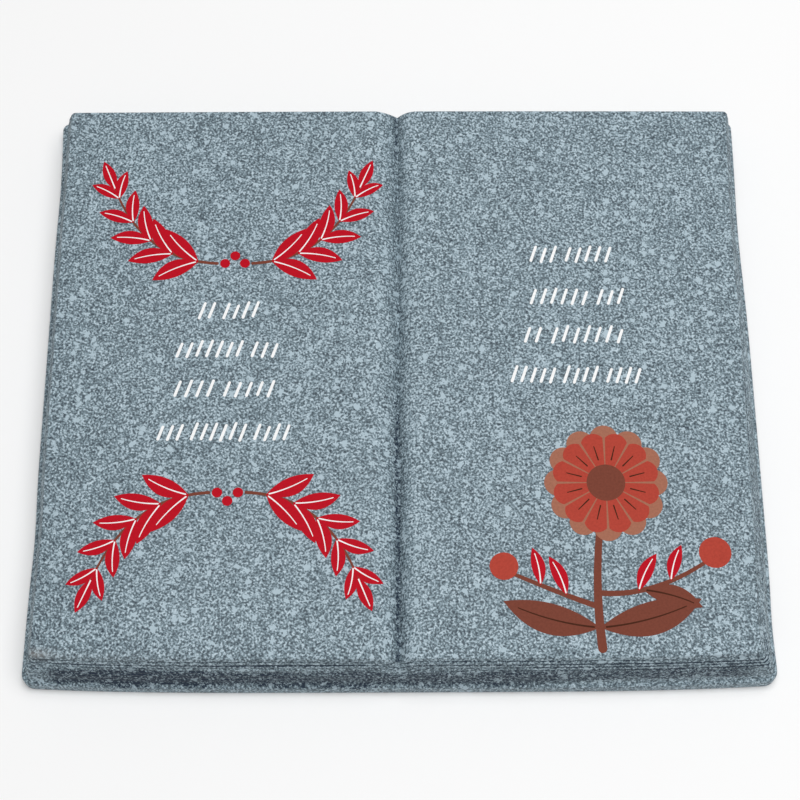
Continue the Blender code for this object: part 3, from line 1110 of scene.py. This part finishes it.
def lay_ink(name, patches, layer, material):
    """One printed film piece from its patches."""
    scene = bpy.context.scene
    points, quads = film_mesh(scene.plaque_book, scene.plaque_ink, patches, layer)
    return new_object(name, points, quads, material)


def curve_points(start, bend, end, steps=25):
    """Points of the quadratic curve (1-t)^2 P + 2t (1-t) Q + t^2 R."""
    t = np.linspace(0.0, 1.0, steps)[:, None]
    p, q, r = (np.asarray(v, float) for v in (start, bend, end))
    return (1 - t) ** 2 * p + 2 * t * (1 - t) * q + t ** 2 * r


def midrib(at, angle, size, bend, width=0.00038):
    """The midrib of a leaf as one tapered stroke along its bowed middle line."""
    u = np.linspace(*RIB_RANGE, 15)
    rib = np.stack([u * size, bend * size * 4 * u * (1 - u)], -1)
    return brush_patch(turned(rib, angle, at), width, width * RIB_TAPER)


def spray(root, side, rise):
    """One laurel spray: leaves in pairs along a bowed stem, each with its midrib.

    The stem leaves the root level and turns outwards and up (rise 1) or down
    (rise -1). Leaves shrink towards the tip, where a single one ends the spray.
    """
    root = np.asarray(root, float)
    way = np.array([side, rise])
    stem = curve_points(root, root + way * SPRAY_BEND, root + way * SPRAY_TIP,
                        steps=SPRAY_PAIRS * PAIR_STEPS + 1)
    leaves, ribs = [], []
    for k in range(SPRAY_PAIRS):
        place = FIRST_PAIR + PAIR_STEPS * k
        ahead = stem[min(place + 1, len(stem) - 1)] - stem[place - 1]
        heading = math.atan2(ahead[1], ahead[0])
        size = SPRAY_LEAF - SPRAY_LOSS * k
        for turn in (-1.0, 1.0):
            leaf = (stem[place], heading + turn * SPRAY_LEAN, size)
            leaves.append(leaf_patch(*leaf, size * SPRAY_SLENDER, -turn * SPRAY_BOW))
            ribs.append(midrib(*leaf, -turn * SPRAY_BOW))
    ahead = stem[-1] - stem[-2]
    tip = (stem[-1], math.atan2(ahead[1], ahead[0]), TIP_LEAF[0])
    leaves.append(leaf_patch(*tip, TIP_LEAF[1]))
    ribs.append(midrib(*tip, 0.0))
    return leaves, ribs, [brush_patch(stem, *SPRAY_STEM, steps=24)]


def stroke_row(centre, base, width, groups, seed):
    """A row of straight strokes of one slant, in groups.

    Strokes stand a pitch apart and groups one and a half. The pitch is the row's
    width over one less than the strokes plus one and a half for each gap, so a
    row of several groups ends a little inside its width. Heights and feet differ
    a little by chance.
    """
    rng = np.random.default_rng(seed)
    pitch = width / (sum(groups) - 1 + GROUP_GAP * (len(groups) - 1))
    strokes, x = [], centre - width / 2.0
    for group in groups:
        for _ in range(group):
            tall = rng.uniform(*STROKE_HEIGHTS)
            foot = base + rng.uniform(-STROKE_STRAY, STROKE_STRAY)
            lean = STROKE_LEAN * tall
            path = np.array([[x - lean, foot], [x + lean, foot + tall]])
            strokes.append(brush_patch(path, *STROKE_WIDTHS, steps=6))
            x += pitch
        x += (GROUP_GAP - 1.0) * pitch
    return strokes


class PLAQUE_OT_skin(bpy.types.Operator):
    """Build the cast skin of the book with its granite coating."""

    bl_idname = "plaque.skin"
    bl_label = "Book skin"

    def execute(self, context):
        points, quads, shading_values = build_skin(context.scene.plaque_book)
        material = coat_material(context.scene.plaque_coat)
        book = new_object("open_book_skin", points, quads, material)
        rub = edge_rub(context.scene.plaque_book, points)
        # The painted shading and the rubbed wear go on the points for the coat to read
        for key, values in (("bareness", shading_values), ("rub", rub)):
            made = book.data.attributes.new(key, "FLOAT", "POINT")
            made.data.foreach_set("value", values.astype(np.float32))
        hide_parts(NODE)
        return {"FINISHED"}


class PLAQUE_OT_strokes(bpy.types.Operator):
    """Lay the rows of white strokes on both pages."""

    bl_idname = "plaque.strokes"
    bl_label = "White strokes"

    # Rows: the middle across, the base line, the width and the strokes in each group
    LEFT_ROWS = ((-0.0459, 0.0162, 0.0176, (2, 4)), (-0.0460, 0.0042, 0.0291, (7, 3)),
                 (-0.0463, -0.0076, 0.0286, (4, 5)), (-0.0450, -0.0207, 0.0395, (3, 6, 4)))
    RIGHT_ROWS = ((0.0502, 0.0335, 0.0239, (3, 5)), (0.0515, 0.0202, 0.0273, (6, 3)),
                  (0.0502, 0.0084, 0.0287, (2, 7)), (0.0515, -0.0038, 0.0392, (5, 4, 4)))

    def execute(self, context):
        white = bpy.data.materials["white_ink"]
        for name, rows, seed in (("left_page_strokes", self.LEFT_ROWS, 31),
                                 ("right_page_strokes", self.RIGHT_ROWS, 47)):
            strokes = []
            for k, (centre, base, width, groups) in enumerate(rows):
                strokes += stroke_row(centre, base, width, groups, seed + k)
            lay_ink(name, strokes, STEM_LAYER, white)
        return {"FINISHED"}


class PLAQUE_OT_sprays(bpy.types.Operator):
    """Lay the laurel sprays above and below the left page's strokes."""

    bl_idname = "plaque.sprays"
    bl_label = "Laurel sprays"

    # Each pair of sprays: the height of its roots and whether it rises or hangs
    PAIRS = ((0.0330, 1.0), (-0.0360, -1.0))
    ROOT_GAP = 0.0050

    # The three berries between two sprays, across and the way that the sprays turn
    BERRIES = ((-0.0028, 0.0), (0.0, 0.0024), (0.0028, 0.0))
    BERRY_RADIUS = 0.0014

    def execute(self, context):
        made, berries = [], []
        for root_y, rise in self.PAIRS:
            for side in (-1.0, 1.0):
                made.append(spray((MIDDLE + side * self.ROOT_GAP, root_y), side, rise))
            for along, up in self.BERRIES:
                berries.append(disc_patch((MIDDLE + along, root_y + up * rise),
                                          self.BERRY_RADIUS, steps=11))
        leaves, ribs, stems = (sum(kind, []) for kind in zip(*made))
        inks = bpy.data.materials
        lay_ink("laurel_stems", stems, STEM_LAYER, inks["brown_ink"])
        lay_ink("laurel_leaves", leaves, LEAF_LAYER, inks["red_ink"])
        lay_ink("laurel_midribs", ribs, RIB_LAYER, inks["white_ink"])
        lay_ink("laurel_berries", berries, LEAF_LAYER, inks["red_ink"])
        return {"FINISHED"}


class PLAQUE_OT_flower(bpy.types.Operator):
    """Lay the upright flower with its leaves and buds on the right page."""

    bl_idname = "plaque.flower"
    bl_label = "Rosette flower"

    HEAD = (0.0555, -0.0335)
    HEART_RADIUS = 0.0052

    # The main stem's foot and bend, and for each side stem the point of the main one that it
    # leaves, its bend and its tip. The widths are those at the foot and at the tip.
    MAIN_STEM = ((0.0525, -0.0795), (0.0505, -0.0570))
    LEFT_STEM = (6, (0.0430, -0.0650), (0.0295, -0.0590))
    RIGHT_STEM = (8, (0.0660, -0.0660), (0.0815, -0.0555))
    MAIN_WIDTHS = (0.0024, 0.0016)
    SIDE_WIDTHS = (0.0016, 0.0010)

    # Leaves: the stem and its point that each grows from, heading, length, width and bow
    BROWN_LEAVES = (("main", 3, 2.86, 0.026, 0.0084, 0.05),
                    ("main", 3, 0.28, 0.028, 0.0090, -0.05),
                    ("right", 10, -0.30, 0.016, 0.0058, 0.05))
    RED_LEAVES = (("left", 10, 1.95, 0.0115, 0.0038, -0.05),
                  ("left", 17, 1.75, 0.0105, 0.0036, -0.05),
                  ("right", 9, 1.10, 0.0115, 0.0038, 0.05),
                  ("right", 16, 1.25, 0.0105, 0.0036, 0.05))
    BROWN_RIB = 0.0005

    # Rings of petals: the turn in steps, where a petal starts, its length and width, and the
    # share of its wedge that it may fill
    RIM_RING = (0.0, 0.0040, 0.0126, 0.0076, 0.985)
    PETAL_RING = (0.5, 0.0040, 0.0105, 0.0068, 0.90)

    # The line drawn along each petal: where it starts and ends, and its two widths
    LINE_REACH = ((0.0068, 0.0), (0.0108, 0.0))
    LINE_WIDTHS = (0.00040, 0.00026)

    # Buds: the side stem, the bud's place from the stem's tip, and its radius
    BUDS = (("left", (-0.0020, 0.0020), 0.0038), ("right", (0.0020, 0.0022), 0.0043))

    def petal_ring(self, turn, start, size, width, fill):
        """One ring of petals round the flower's head."""
        wedge = math.pi / PETALS
        return [petal_patch(self.HEAD, 2 * wedge * (k + turn), start, size, width, fill * wedge)
                for k in range(PETALS)]

    def petal_lines(self):
        """The line drawn along the middle of each petal."""
        wedge = math.pi / PETALS
        turn = self.PETAL_RING[0]
        paths = [turned(np.array(self.LINE_REACH), 2 * wedge * (k + turn), self.HEAD)
                 for k in range(PETALS)]
        return [brush_patch(path, *self.LINE_WIDTHS, steps=4) for path in paths]

    def side_stem(self, main, point, bend, tip):
        """The curve of a side stem that leaves the main one at a point of it."""
        return curve_points(main[point], bend, tip)

    def leaves(self, stems, rows):
        """Place, heading, length, width and bow of each leaf of these rows."""
        return [(stems[stem][point], *shape) for stem, point, *shape in rows]

    def execute(self, context):
        inks = {key: bpy.data.materials[key + "_ink"] for key in INKS}
        main = curve_points(*self.MAIN_STEM, self.HEAD)
        stems = {"main": main, "left": self.side_stem(main, *self.LEFT_STEM),
                 "right": self.side_stem(main, *self.RIGHT_STEM)}
        drawn = [brush_patch(main, *self.MAIN_WIDTHS, steps=30)]
        drawn += [brush_patch(stems[key], *self.SIDE_WIDTHS, steps=20)
                  for key in ("left", "right")]
        brown = self.leaves(stems, self.BROWN_LEAVES)
        red = self.leaves(stems, self.RED_LEAVES)
        ribs = [midrib(at, angle, size, bow, self.BROWN_RIB) for at, angle, size, _, bow in brown]
        lights = [midrib(at, angle, size, bow) for at, angle, size, _, bow in red]
        buds = [disc_patch(stems[stem][-1] + offset, radius)
                for stem, offset, radius in self.BUDS]
        lay_ink("flower_stems", drawn, STEM_LAYER, inks["brown"])
        lay_ink("flower_brown_leaves", [leaf_patch(*leaf) for leaf in brown], LEAF_LAYER,
                inks["brown"])
        lay_ink("flower_red_leaves", [leaf_patch(*leaf) for leaf in red], LEAF_LAYER,
                inks["red"])
        lay_ink("flower_rim", self.petal_ring(*self.RIM_RING), LEAF_LAYER,
                inks["rim"])
        lay_ink("flower_petals", self.petal_ring(*self.PETAL_RING), RIB_LAYER,
                inks["terracotta"])
        lay_ink("flower_buds", buds, LEAF_LAYER, inks["terracotta"])
        lay_ink("flower_lines", ribs + self.petal_lines(), LINE_LAYER,
                inks["line"])
        lay_ink("flower_leaf_midribs", lights, RIB_LAYER, inks["white"])
        lay_ink("flower_heart", [disc_patch(self.HEAD, self.HEART_RADIUS)], HEART_LAYER,
                inks["brown"])
        return {"FINISHED"}


class PLAQUE_OT_inks(bpy.types.Operator):
    """Mix the printing inks."""

    bl_idname = "plaque.inks"
    bl_label = "Inks"

    def execute(self, context):
        ink = context.scene.plaque_ink
        for key in INKS:
            ink_material(key + "_ink", tuple(getattr(ink, key)), ink.roughness)
        return {"FINISHED"}


class PLAQUE_OT_stage(bpy.types.Operator):
    """Set the pale floor, the soft lights and the camera."""

    bl_idname = "plaque.stage"
    bl_label = "Stage"

    def execute(self, context):
        stage = context.scene.plaque_stage
        self.floor(stage)
        self.lights(context, stage)
        self.camera(context, stage)
        return {"FINISHED"}

    def floor(self, stage):
        """A large level sheet just under the plaque."""
        half = stage.floor_size / 2.0
        corners = [(-half, -half, 0.0), (half, -half, 0.0), (half, half, 0.0), (-half, half, 0.0)]
        mesh = bpy.data.meshes.new("floor")
        mesh.from_pydata(corners, [], [(0, 1, 2, 3)])
        sheet = Sheet("pale_floor")
        tone = stage.floor_tone
        sheet.feed(sheet.shader, {"Base Color": (tone, tone, tone, 1.0), "Roughness": 0.9,
                                  "Specular IOR Level": 0.0})
        mesh.materials.append(sheet.material)
        made = bpy.data.objects.new("floor", mesh)
        bpy.context.scene.collection.objects.link(made)

    def lights(self, context, stage):
        """An even sky and one large soft light above the plaque."""
        world = bpy.data.worlds.new("soft_sky")
        world.use_nodes = True
        background = world.node_tree.nodes["Background"]
        background.inputs["Color"].default_value = (1.0, 1.0, 1.0, 1.0)
        background.inputs["Strength"].default_value = stage.sky
        context.scene.world = world
        lamp = bpy.data.lights.new("soft_key", "AREA")
        lamp.shape = "DISK"
        lamp.size = stage.key_size
        lamp.energy = stage.key
        made = bpy.data.objects.new("soft_key", lamp)
        made.location = (stage.key_x, 0.0, stage.key_height)
        context.scene.collection.objects.link(made)
        context.scene.view_settings.view_transform = "Standard"

    def camera(self, context, stage):
        """The camera at its measured place, aimed and then rolled about its view."""
        data = bpy.data.cameras.new("camera")
        data.sensor_width = 36.0
        data.lens = stage.lens
        data.clip_start = 0.01
        made = bpy.data.objects.new("camera", data)
        place = Vector((stage.camera_x, stage.camera_y, stage.camera_z))
        view = Vector((stage.aim_x, stage.aim_y, 0.0)) - place
        turn = view.to_track_quat("-Z", "Y") @ Quaternion((0.0, 0.0, 1.0), stage.roll)
        made.rotation_mode = "QUATERNION"
        made.location = place
        made.rotation_quaternion = turn
        context.scene.collection.objects.link(made)
        context.scene.camera = made


STEPS = (PLAQUE_OT_skin, PLAQUE_OT_inks, PLAQUE_OT_strokes, PLAQUE_OT_sprays,
         PLAQUE_OT_flower, PLAQUE_OT_stage)
SETTINGS = (("plaque_book", PlaqueBookSettings), ("plaque_coat", PlaqueCoatSettings),
            ("plaque_ink", PlaqueInkSettings), ("plaque_stage", PlaqueStageSettings))


class PLAQUE_PT_panel(bpy.types.Panel):
    """The plaque's steps and settings in the sidebar."""

    bl_idname = "PLAQUE_PT_panel"
    bl_label = "Memorial plaque"
    bl_space_type = "VIEW_3D"
    bl_region_type = "UI"
    bl_category = "Plaque"

    def draw(self, context):
        for step in STEPS:
            self.layout.operator(step.bl_idname)
        for key, group in SETTINGS:
            box = self.layout.box()
            for name in group.__annotations__:
                box.prop(getattr(context.scene, key), name)


def register():
    """Register the classes and hang the settings on the scene."""
    for _, group in SETTINGS:
        bpy.utils.register_class(group)
    for step in STEPS:
        bpy.utils.register_class(step)
    bpy.utils.register_class(PLAQUE_PT_panel)
    for key, group in SETTINGS:
        setattr(bpy.types.Scene, key, PointerProperty(type=group))


def unregister():
    """Take the settings off the scene and unregister the classes."""
    for key, _ in SETTINGS:
        delattr(bpy.types.Scene, key)
    bpy.utils.unregister_class(PLAQUE_PT_panel)
    for step in reversed(STEPS):
        bpy.utils.unregister_class(step)
    for _, group in reversed(SETTINGS):
        bpy.utils.unregister_class(group)


def main():
    """Build every piece in order."""
    register()
    bpy.ops.plaque.skin()
    bpy.ops.plaque.inks()
    bpy.ops.plaque.strokes()
    bpy.ops.plaque.sprays()
    bpy.ops.plaque.flower()
    bpy.ops.plaque.stage()
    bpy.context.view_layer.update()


if __name__ == "__main__":
    main()
